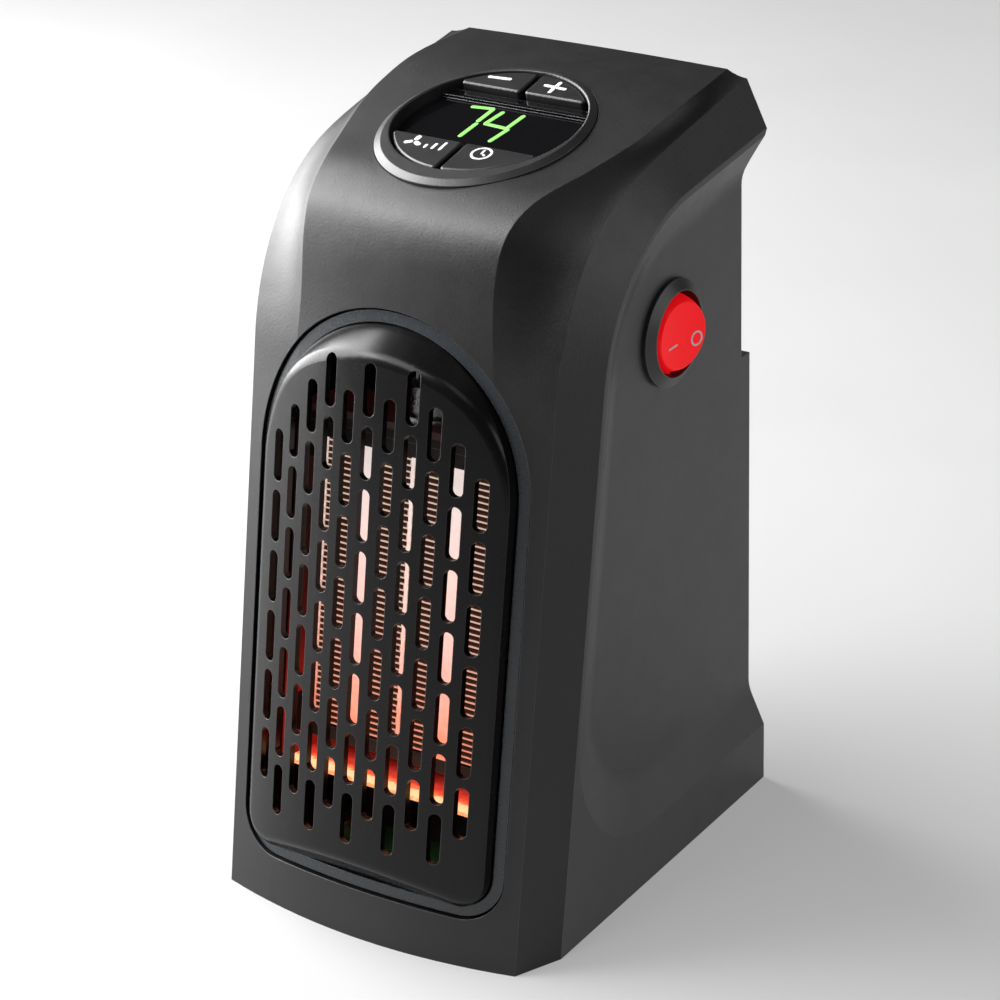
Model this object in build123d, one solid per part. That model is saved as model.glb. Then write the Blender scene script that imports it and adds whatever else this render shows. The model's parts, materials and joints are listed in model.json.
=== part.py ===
from build123d import *
import math
import os

# Plug-in ceramic fan heater, in millimetres.
# Frame: +X to the side that carries the power switch, -Y out of the air outlet,
# +Z up.  The origin is the middle of the base on the surface the heater stands on.

# ---------------------------------------------------------------- driving sizes
HALF_WIDTH = 41.8            # half of the body's width
BACK_Y = 51.0                # back face, the one that meets the wall socket
WALL = 2.3                   # wall of both casings
FIT = 0.15                   # gap round a piece seated in a hole
RUN = 0.3                    # gap beside a piece that moves

# parting line between the casings, seen from the side
RAKE = 10.05                 # lean of the front face, degrees from vertical
SEAM_FOOT_Y = -35.9          # where the parting line meets the base
SEAM_RADIUS = 38.0           # its bend at the shoulder
SEAM_TOP_Z = 149.7           # height of its top run at Y = 0
SEAM_TOP_TILT = 6.7          # slope of its top run, degrees

# front cover
CREASE_RISE = 10.2           # side return at the front, from the parting line to its edge
CREASE_HALF = 37.0           # half width at that edge
CROWN_RISE = 15.07           # centre of the front face above the parting line
SHOULDER_RADIUS = 17.0       # bend of the centre line at the shoulder
DECK_TILT = 12.0             # slope of the control deck, degrees
DECK_Z = 162.0               # height of the deck under the controls' centre
DECK_Y = 8.3                 # the controls' centre
REAR_TILT = 2.5              # slope of the roof behind the deck, degrees
REAR_Z = 167.5               # height of the roof at the back
ROOF_RADIUS = 100.0          # blend between deck and roof
SCOOP = 2.6                  # hollow of the flanks beside the deck
SCOOP_RISE = 6.0             # a flank lower than this is less hollow

# air outlet, along the front face
MOUTH_HALF = 33.4            # half width of the opening in the cover
MOUTH_FOOT = 10.9            # its lower edge
MOUTH_SPRING = 100.5         # where its arched top begins
MOUTH_ARCH = 36.0            # height of the arch
MOUTH_CORNER = 10.0          # lower corner radius
TRIM_BAND = 2.4              # visible width of the trim frame
TRIM_SINK = 0.8              # how far the trim lies under the cover's face
TRIM_FLANGE_TOP = -7.2       # trim flange, from the front face's centre line
TRIM_LAP = 1.5               # reach of the trim's flange behind the cover
FLANGE = 1.2                 # thickness of the trim's and the grille's flanges
DOME_RISE = 6.0              # grille's crown above the front face
DOME_RADIUS = 69.0           # its sideways curve
DOME_EDGE = 3.0              # rolled edge of the dome
DOME_WALL = 1.6
DOME_TURN = -1.2             # where its sloping ends begin
DOME_TOP = 8.0
DOME_LEAN = 1.2              # how far the sides lean in up to that height
DOME_DRAFT = 5.6             # and the ends besides
MOUTH_GAP = 0.5              # between the cover and the trim
SLOT_WIDTH = 2.85
SLOT_LENGTH = 11.2
SLOT_PITCH_X = 5.0
SLOT_PITCH_U = 13.14
SLOT_TOP = 121.2             # centre of the highest slot of the middle column
SLOT_HALF_ROWS = {0: (0, 8), 1: (1, 7), 2: (0, 8), 3: (1, 7), 4: (2, 7), 5: (3, 6)}

# heating element, along the front face
CORE_FRONT = -11.2           # its front, behind the front face's centre line
CORE_DEPTH = 15.0
CORE_FOOT = 40.2
CORE_HEIGHT = 63.4
CORE_HALF = 22.2
BAR_X = 10.8                 # centre of each heating bar
BAR_WIDTH = 4.0
PLATE = 0.4                  # outer plates
FIN = 0.22                   # fin sheet
FIN_PITCH = 1.35
END_FRAME = 3.0              # height of each end frame
DUCT_HALF = 27.0
DUCT_WALL = 1.5
DUCT_FOOT = 32.6
DUCT_TOP = 109.0

# fan, on an axis square to the front face
FAN_U = 71.0                 # height of its axis along the front face
FAN_FRONT = -31.0
FAN_DEPTH = 14.0
FAN_RADIUS = 31.0
FAN_GAP = 1.2
HUB_RADIUS = 9.0
BLADES = 7
SHROUD_WALL = 1.8
MOTOR_RADIUS = 12.0
MOTOR_LENGTH = 20.0
SHAFT_RADIUS = 1.0

# controls, on the deck
RING_HALF_X = 22.55
RING_HALF_V = 24.2
RING_TOP = 0.4               # inner edge of the ring, above the keys
RING_EDGE = -0.45            # its outer edge
RING_SLOPE = 1.4             # width of the slope between them
RING_ROUND = 0.3
RING_FOOT = -6.0
RING_LAP = 2.0               # reach of the ring's flange under the cover
WELL_RADIUS = 20.5           # opening of the ring
WELL_V = 1.4
KEY_RADIUS = 20.0
KEY_V = 1.7
KEY_SPLIT = 1.2              # gap between a pair of keys
UPPER_KEY_EDGE = 14.0
LOWER_KEY_EDGE = -7.8
UPPER_KEY_DEPTH = 2.9
LOWER_KEY_DEPTH = 1.6
KEY_CORNER = 0.7
KEY_BEVEL = 0.3
KEY_TRAVEL = 0.6
STEM = 3.0
WINDOW_TOP = -2.4
WINDOW_THICK = 1.2
WINDOW_GAP = 0.5             # behind the window, in front of the upper keys
LEDGE = 2.6                  # raised rear ledge of the window
LEDGE_RISE = 0.7
BOARD_TOP = -9.6
BOARD_THICK = 1.2

# power switch, on the right-hand side
SWITCH_Y = 17.6
SWITCH_Z = 121.1
SWITCH_CUT = 10.0            # radius of the panel cut-out
SWITCH_FLANGE = 11.5
SWITCH_RIM = 1.0             # height of the bezel's outer edge above the panel
SWITCH_PROUD = 2.3           # height of its inner edge
SWITCH_BODY = 18.0
ROCKER_RADIUS = 8.4
ROCKER_TILT = 10.0           # lean of the rocker's face in either state, degrees
ROCKER_GAP = 0.75

# side recesses
RECESS_DEPTH = 4.0
RECESS_EDGE = 1.2            # margin between the parting line and the recess
RECESS_SLOPE = 8.1           # width of its sloping wall
RECESS_FOOT = 13.9           # its lower edge
RECESS_FOOT_SLOPE = 8.8
RECESS_CORNER = 28.0
RECESS_CORNER_SHRINK = 3.0
RECESS_COVE = 9.0            # soft bend between the sloping wall and the floor

# back
STEP_Z = 104.5               # above this the back is set in for the air intake
STEP_DEPTH = 3.6
STEP_TOP = 143.0
VENT_WIDTH = 2.6
VENT_PITCH = 5.6
VENT_ROWS = 6
VENT_HALF = 26.0
PLUG_Z = 48.0
PLUG_RADIUS = 20.0
PLUG_FLANGE = 2.0
PLUG_PLATE = 1.9
BLADE_OUT = 17.0
BLADE_HEIGHT = 6.35
BLADE_THICK = 1.5
BLADE_SPACING = 12.7
BLADE_HOLE = 1.6

# fasteners and boards
BOSS_RADIUS = 3.4
BOSS_JOIN_Y = 20.0
SCREW_RADIUS = 1.5
SCREW_HEAD = 2.8
SCREW_LENGTH = 18.0
SCREW_SPOTS = [(-31.0, 15.5), (31.0, 15.5), (-31.0, 136.0), (31.0, 136.0)]
SUPPLY_Z = 7.0
SUPPLY_HALF = 25.0
SUPPLY_FRONT = -30.0
SUPPLY_BACK = 36.0
SUPPLY_THICK = 1.6

# ---------------------------------------------------------------- frames
SIN_R = math.sin(math.radians(RAKE))
COS_R = math.cos(math.radians(RAKE))
TAN_R = math.tan(math.radians(RAKE))
FACE_FOOT_Y = SEAM_FOOT_Y - CROWN_RISE / COS_R
FACE = Plane(origin=(0, FACE_FOOT_Y, 0), x_dir=(1, 0, 0), z_dir=(0, -COS_R, SIN_R))
SIN_D = math.sin(math.radians(DECK_TILT))
COS_D = math.cos(math.radians(DECK_TILT))
KEY_LEVEL = 0.7              # key tops above the deck
DECK = Plane(origin=(0, DECK_Y, DECK_Z + KEY_LEVEL), x_dir=(1, 0, 0), z_dir=(0, -SIN_D, COS_D))


def block(x0, x1, y0, y1, z0, z1):
    """Box between two corners, in the body frame."""
    return Pos((x0 + x1) / 2, (y0 + y1) / 2, (z0 + z1) / 2) * Box(x1 - x0, y1 - y0, z1 - z0)


def block_on(plane, x0, x1, y0, y1, z0, z1):
    """The same box in the frame of a plane."""
    return plane.location * block(x0, x1, y0, y1, z0, z1)


def rod_on(plane, x, y, radius, z0, z1):
    """Round bar square to a plane, between two heights."""
    return plane.location * Pos(x, y, (z0 + z1) / 2) * Cylinder(radius, z1 - z0)


def prism(plane, sketch, z0, z1):
    """Flat outline of a plane, extruded between two heights."""
    return plane.location * Pos(0, 0, z0) * extrude(sketch, z1 - z0)


def solid_of(shape):
    """The one solid of a shape."""
    found = shape.solids()
    return max(found, key=lambda piece: piece.volume)


# ---------------------------------------------------------------- side profile
TOP_SLOPE = math.tan(math.radians(SEAM_TOP_TILT))
COS_T = math.cos(math.radians(SEAM_TOP_TILT))
SIN_T = math.sin(math.radians(SEAM_TOP_TILT))


def front_line(z, inset):
    """Y of the parting line's front run at a height, moved inward."""
    return SEAM_FOOT_Y + TAN_R * z + inset / COS_R


def top_line(y, inset):
    """Z of the parting line's top run, moved inward."""
    return SEAM_TOP_Z + TOP_SLOPE * y - inset / COS_T


def profile_corner(inset):
    """Where the two runs would meet."""
    z = (SEAM_TOP_Z + TOP_SLOPE * (SEAM_FOOT_Y + inset / COS_R) - inset / COS_T)
    z = z / (1 - TOP_SLOPE * TAN_R)
    return (front_line(z, inset), z)


def side_profile(inset, foot, back, foot_corner=0.0):
    """Outline behind the parting line, as a face in the YZ plane."""
    corner = profile_corner(inset)
    outline = Polyline(
        (front_line(foot, inset), foot),
        corner,
        (back, top_line(back, inset)),
        (back, foot),
        close=True,
    )
    face = make_face(outline)
    front_top = face.vertices().sort_by_distance(Vector(corner[0], corner[1], 0))[0]
    face = fillet(front_top, SEAM_RADIUS - inset)
    if foot_corner:
        foot_point = Vector(front_line(foot, inset), foot, 0)
        front_foot = face.vertices().sort_by_distance(foot_point)[0]
        face = fillet(front_foot, foot_corner)
    return face


def side_prism(face, x0, x1):
    """A YZ outline extruded between two X positions."""
    return Plane.YZ.location * Pos(0, 0, x0) * extrude(face, x1 - x0)


SEAM_CENTRE = profile_corner(SEAM_RADIUS)     # centre of the shoulder bend


def centre_profile():
    """The cover's outline on its middle plane, as a face in the YZ plane."""
    front_at = lambda z: FACE_FOOT_Y + TAN_R * z
    deck_slope = math.tan(math.radians(DECK_TILT))
    roof_slope = math.tan(math.radians(REAR_TILT))
    deck_at = lambda y: DECK_Z + deck_slope * (y - DECK_Y)
    shoulder_z = (DECK_Z + deck_slope * (FACE_FOOT_Y - DECK_Y)) / (1 - deck_slope * TAN_R)
    shoulder = (front_at(shoulder_z), shoulder_z)
    knee_y = (REAR_Z - roof_slope * BACK_Y - DECK_Z + deck_slope * DECK_Y) / (deck_slope - roof_slope)
    knee = (knee_y, deck_at(knee_y))
    far_y = BACK_Y + 30.0
    low_z = -30.0
    outline = Polyline(
        (front_at(low_z), low_z),
        shoulder,
        knee,
        (far_y, REAR_Z + roof_slope * (far_y - BACK_Y)),
        (far_y, low_z),
        close=True,
    )
    face = make_face(outline)
    at_knee = face.vertices().sort_by_distance(Vector(knee[0], knee[1], 0))[0]
    face = fillet(at_knee, ROOF_RADIUS)
    at_shoulder = face.vertices().sort_by_distance(Vector(shoulder[0], shoulder[1], 0))[0]
    return fillet(at_shoulder, SHOULDER_RADIUS)


CENTRE = centre_profile()

# The cover is lofted through sections square to the parting line.  Places along
# it are lengths, measured at the height of the crease, from the base upward.
BEND_MID = SEAM_RADIUS + CREASE_RISE
BEND_ANGLE = math.radians(90 - RAKE - SEAM_TOP_TILT)
FRONT_RUN = (SEAM_CENTRE[1] + SEAM_RADIUS * SIN_R) / COS_R
BEND_RUN = BEND_MID * BEND_ANGLE
TOP_RUN = (BACK_Y - SEAM_CENTRE[0] + SEAM_RADIUS * SIN_T) / COS_T
OVERRUN = 12.0               # loft beyond the base and the back, cut off later
STATION_COUNT = 31

# place along the bend as a share of it, half width of the deck, how far the section
# has turned from the front's plain bow into deck and hollow flanks, rise of the crease
DECK_COURSE = [
    (-9.0, 24.5, 0.0, CREASE_RISE),
    (-0.3, 24.5, 0.0, CREASE_RISE),
    (0.0, 24.0, 0.1, CREASE_RISE),
    (0.2, 23.2, 0.5, CREASE_RISE),
    (0.36, 23.5, 0.85, 10.3),
    (0.5, 24.8, 0.97, 10.3),
    (0.65, 28.0, 1.0, 9.7),
    (0.8, 30.9, 1.0, 8.7),
    (0.94, 33.0, 1.0, 8.3),
    (1.09, 33.8, 1.0, 8.8),
    (1.24, 34.0, 1.0, 9.3),
    (1.38, 33.4, 1.0, 9.7),
    (1.53, 32.4, 1.0, 10.0),
    (1.8, 31.0, 1.0, 10.2),
]


def course_at(share):
    """Deck half width, turn and crease rise at a place along the bend, smoothly joined."""
    last = len(DECK_COURSE) - 2
    k = 0
    while k < last and DECK_COURSE[k + 1][0] < share:
        k += 1
    low, high = DECK_COURSE[k], DECK_COURSE[k + 1]
    before, after = DECK_COURSE[max(k - 1, 0)], DECK_COURSE[min(k + 2, last + 1)]
    span = high[0] - low[0]
    t = min((share - low[0]) / span, 1.0)
    values = []
    for i in (1, 2, 3):
        start = (high[i] - before[i]) / (high[0] - before[0]) * span
        end = (after[i] - low[i]) / (after[0] - low[0]) * span
        rise = high[i] - low[i]
        values.append(low[i] + t * start + t * t * (3 * rise - 2 * start - end)
                      + t * t * t * (start + end - 2 * rise))
    return values


def station_frame(length):
    """Point of the parting line and its outward normal, in YZ."""
    past_bend = length - FRONT_RUN - BEND_RUN
    lean = min(max(length - FRONT_RUN, 0.0), BEND_RUN) / BEND_MID
    angle = math.pi - math.radians(RAKE) - lean
    normal = (math.cos(angle), math.sin(angle))
    along = min(length - FRONT_RUN, 0.0) + max(past_bend, 0.0)
    origin = (
        SEAM_CENTRE[0] + SEAM_RADIUS * normal[0] + along * normal[1],
        SEAM_CENTRE[1] + SEAM_RADIUS * normal[1] - along * normal[0],
    )
    return origin, normal


def crown_at(origin, normal):
    """Height of the middle of the cover above the parting line."""
    ray = Line(origin, (origin[0] + 60 * normal[0], origin[1] + 60 * normal[1]))
    return sum(edge.length for edge in (CENTRE & ray).edges())


def section(length, inset):
    """Closed section of the cover's body at one station, moved inward by a wall."""
    origin, normal = station_frame(length)
    deck_half, deck_share, crease_rise = course_at((length - FRONT_RUN) / BEND_RUN)
    crown = crown_at(origin, normal)
    rise = crown - crease_rise
    bow = rise / CREASE_HALF ** 2
    edge_bowed = crown - bow * deck_half ** 2
    edge = (1 - deck_share) * edge_bowed + deck_share * (crown - 0.35)
    mid = (deck_half + CREASE_HALF) / 2
    bowed_control = edge_bowed - bow * deck_half * (CREASE_HALF - deck_half)
    hollow = SCOOP * min(1.0, (edge - crease_rise) / SCOOP_RISE)
    scoop_control = (edge + crease_rise) / 2 - hollow
    control = (1 - deck_share) * bowed_control + deck_share * scoop_control
    plane = Plane(origin=(0, origin[0], origin[1]), x_dir=(1, 0, 0),
                  z_dir=(0, -normal[1], normal[0]))
    side = HALF_WIDTH - inset
    crease = CREASE_HALF - inset
    foot = -6.0
    top = (0.0, 2 * (crown - inset) - (edge - inset))
    points = {
        "seam": (side, 0.0),
        "crease": (crease, crease_rise - inset * 0.85),
        "mid": (mid - inset * 0.5, control - inset),
        "edge": (deck_half - inset * 0.25, edge - inset),
    }
    flip = lambda p: (-p[0], p[1])
    edges = [
        Line((-side, foot), (side, foot)),
        Line((side, foot), points["seam"]),
        Line(points["seam"], points["crease"]),
        Bezier(points["crease"], points["mid"], points["edge"]),
        Bezier(points["edge"], top, flip(points["edge"])),
        Bezier(flip(points["edge"]), flip(points["mid"]), flip(points["crease"])),
        Line(flip(points["crease"]), flip(points["seam"])),
        Line(flip(points["seam"]), (-side, foot)),
    ]
    return plane.location * Wire(edges)


def cover_body(inset):
    """Solid block with the cover's outer shape, moved inward by a wall."""
    reach = FRONT_RUN + BEND_RUN + TOP_RUN + 2 * OVERRUN
    step = reach / (STATION_COUNT - 1)
    wires = [section(i * step - OVERRUN, inset) for i in range(STATION_COUNT)]
    return Solid.make_loft(wires, ruled=False)


# ---------------------------------------------------------------- shared outlines
def mouth_outline(inset, ends=0.0):
    """Outline of the air outlet on the front face, moved inward, and more at its ends."""
    half = MOUTH_HALF - inset
    foot = MOUTH_FOOT + inset + ends
    corner = MOUTH_CORNER - inset + ends / 3
    arch = MOUTH_ARCH - inset - ends
    edges = [
        Line((half, MOUTH_SPRING), (half, foot + corner)),
        CenterArc((half - corner, foot + corner), corner, 0, -90),
        Line((half - corner, foot), (corner - half, foot)),
        CenterArc((corner - half, foot + corner), corner, -90, -90),
        Line((-half, foot + corner), (-half, MOUTH_SPRING)),
        EllipticalCenterArc((0, MOUTH_SPRING), half, arch, start_angle=0, arc_size=180),
    ]
    return make_face(edges)


def ring_outline(grow):
    """Outline of the control ring on the deck, moved outward."""
    return Ellipse(RING_HALF_X + grow, RING_HALF_V + grow)


def key_disc(shrink):
    """Round outline that the four keys share."""
    return Pos(0, KEY_V) * Circle(KEY_RADIUS - shrink)


def band(v0, v1, x0=-40.0, x1=40.0):
    """Rectangle between two heights of the deck."""
    return Pos((x0 + x1) / 2, (v0 + v1) / 2) * Rectangle(x1 - x0, v1 - v0)


def boss_bar(x, z, radius, y0, y1):
    """Round bar along Y."""
    return Pos(x, (y0 + y1) / 2, z) * Rot(90, 0, 0) * Cylinder(radius, y1 - y0)


INNER_X = HALF_WIDTH - RECESS_DEPTH - WALL
INNER_BACK = BACK_Y - WALL
STEP_Y = BACK_Y - STEP_DEPTH
SCREW_HEAD_Y = BACK_Y - 9.0


# ---------------------------------------------------------------- casings
def make_front_cover():
    outer = cover_body(0.0)
    front_zone = block(-60, 60, -90, BACK_Y, 0, 190)
    behind_seam = side_prism(side_profile(0.0, -20.0, BACK_Y + 20.0), -60, 60)
    shell = (outer & front_zone) - behind_seam
    hollow = cover_body(WALL) & block(-60, 60, -90, INNER_BACK, WALL, 190)
    shell = solid_of(shell - hollow)
    for x, z in SCREW_SPOTS:
        post = boss_bar(x, z, BOSS_RADIUS, -60, BOSS_JOIN_Y) & hollow
        shell += post
    for x, z in SCREW_SPOTS:
        shell -= boss_bar(x, z, SCREW_RADIUS, BOSS_JOIN_Y - SCREW_LENGTH, BOSS_JOIN_Y + 1)
    shell -= prism(FACE, mouth_outline(0.0), -14, 12)
    shell -= prism(FACE, mouth_outline(-TRIM_LAP - FIT), -14, TRIM_FLANGE_TOP + FIT)
    shell -= prism(DECK, ring_outline(FIT), -8, 8)
    shell -= prism(DECK, ring_outline(RING_LAP + FIT), RING_FOOT - FIT, RING_FOOT + 1.0 + FIT)
    return solid_of(shell)


def recess_cutter(side):
    """Tapering block that sinks the panel of one side."""
    faces = []
    for out in (2.0, -RECESS_DEPTH):
        inset = RECESS_EDGE - out / RECESS_DEPTH * RECESS_SLOPE
        foot = RECESS_FOOT - out / RECESS_DEPTH * RECESS_FOOT_SLOPE
        corner = RECESS_CORNER + out / RECESS_DEPTH * RECESS_CORNER_SHRINK
        face = side_profile(inset, foot, BACK_Y + 20.0, corner)
        x = side * (HALF_WIDTH + out)
        faces.append(Plane.YZ.location * Pos(0, 0, x) * face)
    return loft(faces, ruled=True)


def recess_floor_edges(shell, side):
    """Where the recess's sloping walls meet its floor."""
    level = side * (HALF_WIDTH - RECESS_DEPTH)
    found = []
    for edge in shell.edges():
        spots = [edge @ t for t in (0.1, 0.5, 0.9)]
        if all(abs(p.X - level) < 0.01 and p.Y < BACK_Y - 0.01 for p in spots):
            found.append(edge)
    return found


def step_outline(inset):
    """Notch of the upper back, as a face in the YZ plane, moved inward."""
    top = top_line(BACK_Y, 0.0)
    low = STEP_Z - inset
    depth = STEP_Y - inset
    edges = [
        Line((BACK_Y + 20, low), (depth, low)),
        Line((depth, low), (depth, STEP_TOP)),
        ThreePointArc((depth, STEP_TOP), (depth + 1.0, (STEP_TOP + top) / 2 + 1.0), (BACK_Y - inset, top)),
        Line((BACK_Y - inset, top), (BACK_Y + 20, top)),
        Line((BACK_Y + 20, top), (BACK_Y + 20, low)),
    ]
    return make_face(edges)


def make_rear_housing():
    shell = side_prism(side_profile(0.0, 0.0, BACK_Y), -HALF_WIDTH, HALF_WIDTH)
    for side in (-1, 1):
        shell = solid_of(shell - recess_cutter(side))
        shell = fillet(recess_floor_edges(shell, side), RECESS_COVE)
    shell -= side_prism(step_outline(0.0), -60, 60)
    hollow = side_prism(side_profile(-12.0, WALL, INNER_BACK), -INNER_X, INNER_X)
    hollow -= side_prism(step_outline(WALL), -60, 60)
    shell -= hollow
    shell = solid_of(shell)
    for x, z in SCREW_SPOTS:
        shell += boss_bar(x, z, BOSS_RADIUS, BOSS_JOIN_Y, STEP_Y - 0.4)
    for x, z in SCREW_SPOTS:
        shell -= boss_bar(x, z, SCREW_RADIUS + FIT, BOSS_JOIN_Y - 1, BACK_Y + 1)
        shell -= boss_bar(x, z, SCREW_HEAD + FIT, SCREW_HEAD_Y, BACK_Y + 1)
    cut = rod_on(Plane.YZ, SWITCH_Y, SWITCH_Z, SWITCH_CUT + FIT, 20, 60)
    shell -= cut
    shell -= boss_bar(0, PLUG_Z, PLUG_RADIUS + RUN, 40, 60)
    first = STEP_Z + 6.0
    for row in range(VENT_ROWS):
        slot = Rot(90, 0, 0) * SlotOverall(2 * VENT_HALF, VENT_WIDTH)
        shell -= Pos(0, 60, first + row * VENT_PITCH) * extrude(slot, 20, both=True)
    return solid_of(shell)


def make_housing_screws():
    screws = []
    for x, z in SCREW_SPOTS:
        shank = boss_bar(x, z, SCREW_RADIUS - FIT, BOSS_JOIN_Y - SCREW_LENGTH + 4, SCREW_HEAD_Y + 0.5)
        head = boss_bar(x, z, SCREW_HEAD, SCREW_HEAD_Y, SCREW_HEAD_Y + 2.2)
        cross = block(x - 1.7, x + 1.7, SCREW_HEAD_Y + 1, SCREW_HEAD_Y + 3, z - 0.4, z + 0.4)
        cross += block(x - 0.4, x + 0.4, SCREW_HEAD_Y + 1, SCREW_HEAD_Y + 3, z - 1.7, z + 1.7)
        screws.append(solid_of(shank + head - cross))
    return screws


# ---------------------------------------------------------------- air outlet
def make_grille_trim():
    ring = mouth_outline(MOUTH_GAP) - mouth_outline(MOUTH_GAP + TRIM_BAND)
    wall = prism(FACE, ring, TRIM_FLANGE_TOP - FLANGE, 4)
    under = cover_body(0.0).moved(Location((0, TRIM_SINK * COS_R, -TRIM_SINK * SIN_R)))
    wall = wall & under
    flange = prism(FACE, mouth_outline(-TRIM_LAP) - mouth_outline(MOUTH_GAP + TRIM_BAND),
                   TRIM_FLANGE_TOP - FLANGE, TRIM_FLANGE_TOP)
    return solid_of(wall + flange)


def dome_block(inset, edge):
    """Crowned block with sloping ends and a rolled edge, for the grille's two faces."""
    foot = MOUTH_GAP + TRIM_BAND + RUN + inset
    low = FACE.location * Pos(0, 0, DOME_TURN) * mouth_outline(foot)
    high = FACE.location * Pos(0, 0, DOME_TOP) * mouth_outline(foot + DOME_LEAN, DOME_DRAFT)
    body = prism(FACE, mouth_outline(foot), -12, DOME_TURN) + loft([low, high], ruled=True)
    crown = DOME_RADIUS - inset
    axis = DOME_RISE - DOME_RADIUS
    roll = FACE.location * Pos(0, 70, axis) * Rot(90, 0, 0) * Cylinder(crown, 220)
    body = solid_of(body & roll)
    rim = []
    for candidate in body.edges():
        spots = [FACE.to_local_coords(candidate @ t) for t in (0.1, 0.5, 0.9)]
        if all(abs(math.hypot(p.X, p.Z - axis) - crown) < 0.02 for p in spots):
            rim.append(candidate)
    return solid_of(fillet(rim, edge)) if edge else body


def make_outlet_grille():
    outer = dome_block(0.0, DOME_EDGE)
    inner = dome_block(DOME_WALL, 0.0)
    level = TRIM_FLANGE_TOP - FLANGE
    below = block_on(FACE, -60, 60, -20, 180, -20, level)
    shell = solid_of((outer - inner) - below)
    foot = mouth_outline(MOUTH_GAP) - mouth_outline(MOUTH_GAP + TRIM_BAND + RUN + DOME_WALL)
    shell = shell + prism(FACE, foot, level - FLANGE, level)
    slots = []
    for column in range(-5, 6):
        half_rows, count = SLOT_HALF_ROWS[abs(column)]
        top = SLOT_TOP - half_rows * SLOT_PITCH_U / 2
        for row in range(count):
            spot = Pos(column * SLOT_PITCH_X, top - row * SLOT_PITCH_U)
            slots.append(spot * Rot(0, 0, 90) * SlotOverall(SLOT_LENGTH, SLOT_WIDTH))
    cutters = [prism(FACE, slot, -7, 10) for slot in slots]
    return solid_of(shell - cutters)


# ---------------------------------------------------------------- heater
def core_block(x0, x1, u0, u1):
    return block_on(FACE, x0, x1, u0, u1, CORE_FRONT - CORE_DEPTH, CORE_FRONT)


CORE_TOP = CORE_FOOT + CORE_HEIGHT
CENTRE_PLATE = 0.4


def make_ptc_bars():
    half = BAR_WIDTH / 2
    return [core_block(s * BAR_X - half, s * BAR_X + half, CORE_FOOT, CORE_TOP) for s in (-1, 1)]


def make_heater_plates():
    outer = CORE_HALF
    plates = [core_block(s * outer - (PLATE if s > 0 else 0), s * outer + (PLATE if s < 0 else 0),
                         CORE_FOOT, CORE_TOP) for s in (-1, 1)]
    plates.append(core_block(-CENTRE_PLATE, CENTRE_PLATE, CORE_FOOT, CORE_TOP))
    return plates


def fin_row(x0, x1):
    """Folded fin sheet between two walls, as one solid."""
    count = int(CORE_HEIGHT / FIN_PITCH)
    first = CORE_FOOT + (CORE_HEIGHT - count * FIN_PITCH) / 2
    left = [(x0, first)]
    right = [(x1, first)]
    for i in range(count):
        low = first + i * FIN_PITCH + FIN
        high = first + (i + 1) * FIN_PITCH
        if i % 2:
            left += [(x0, low), (x1 - FIN, low), (x1 - FIN, high), (x0, high)]
        else:
            right += [(x1, low), (x0 + FIN, low), (x0 + FIN, high), (x1, high)]
    last = first + count * FIN_PITCH + FIN
    left.append((x0, last))
    right.append((x1, last))
    sheet = make_face(Polyline(*left, *reversed(right), close=True))
    return prism(FACE, sheet, CORE_FRONT - CORE_DEPTH, CORE_FRONT)


def make_heater_fins():
    inner = BAR_X - BAR_WIDTH / 2
    outer = BAR_X + BAR_WIDTH / 2
    edge = CORE_HALF - PLATE
    spans = [(-edge, -outer), (-inner, -CENTRE_PLATE), (CENTRE_PLATE, inner), (outer, edge)]
    return [fin_row(*span) for span in spans]


def make_end_frame(low):
    """Heat-proof bar that holds one end of the core in the duct."""
    half = DUCT_HALF
    bar = core_block(-half, half, low, low + END_FRAME)
    lip = 1.4
    for s in (-1, 1):
        inner, outer = sorted((s * (CORE_HALF + FIT), s * half))
        if low < CORE_FOOT:
            bar += core_block(inner, outer, low + END_FRAME, low + END_FRAME + 5)
        else:
            bar += core_block(inner, outer, low - 5, low)
    return solid_of(bar)


def make_heat_duct():
    back = CORE_FRONT - CORE_DEPTH - 0.6
    front = TRIM_FLANGE_TOP - 2 * FLANGE
    outer = block_on(FACE, -DUCT_HALF - DUCT_WALL, DUCT_HALF + DUCT_WALL,
                     DUCT_FOOT - DUCT_WALL, DUCT_TOP + DUCT_WALL, back, front)
    bore = block_on(FACE, -DUCT_HALF, DUCT_HALF, DUCT_FOOT, DUCT_TOP, back - 1, front + 1)
    return solid_of(outer - bore)


def make_deflector():
    """Thin steel tray under the core that turns the air out through the grille."""
    tray = block_on(FACE, -24, 24, DUCT_FOOT, DUCT_FOOT + 0.5, CORE_FRONT - CORE_DEPTH, -4.5)
    return tray


def make_duct_cap():
    """Dark heat shield above the core."""
    gap = DUCT_TOP - CORE_TOP - END_FRAME
    return block_on(FACE, -DUCT_HALF, DUCT_HALF, DUCT_TOP - gap, DUCT_TOP,
                    CORE_FRONT - CORE_DEPTH, CORE_FRONT)


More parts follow.
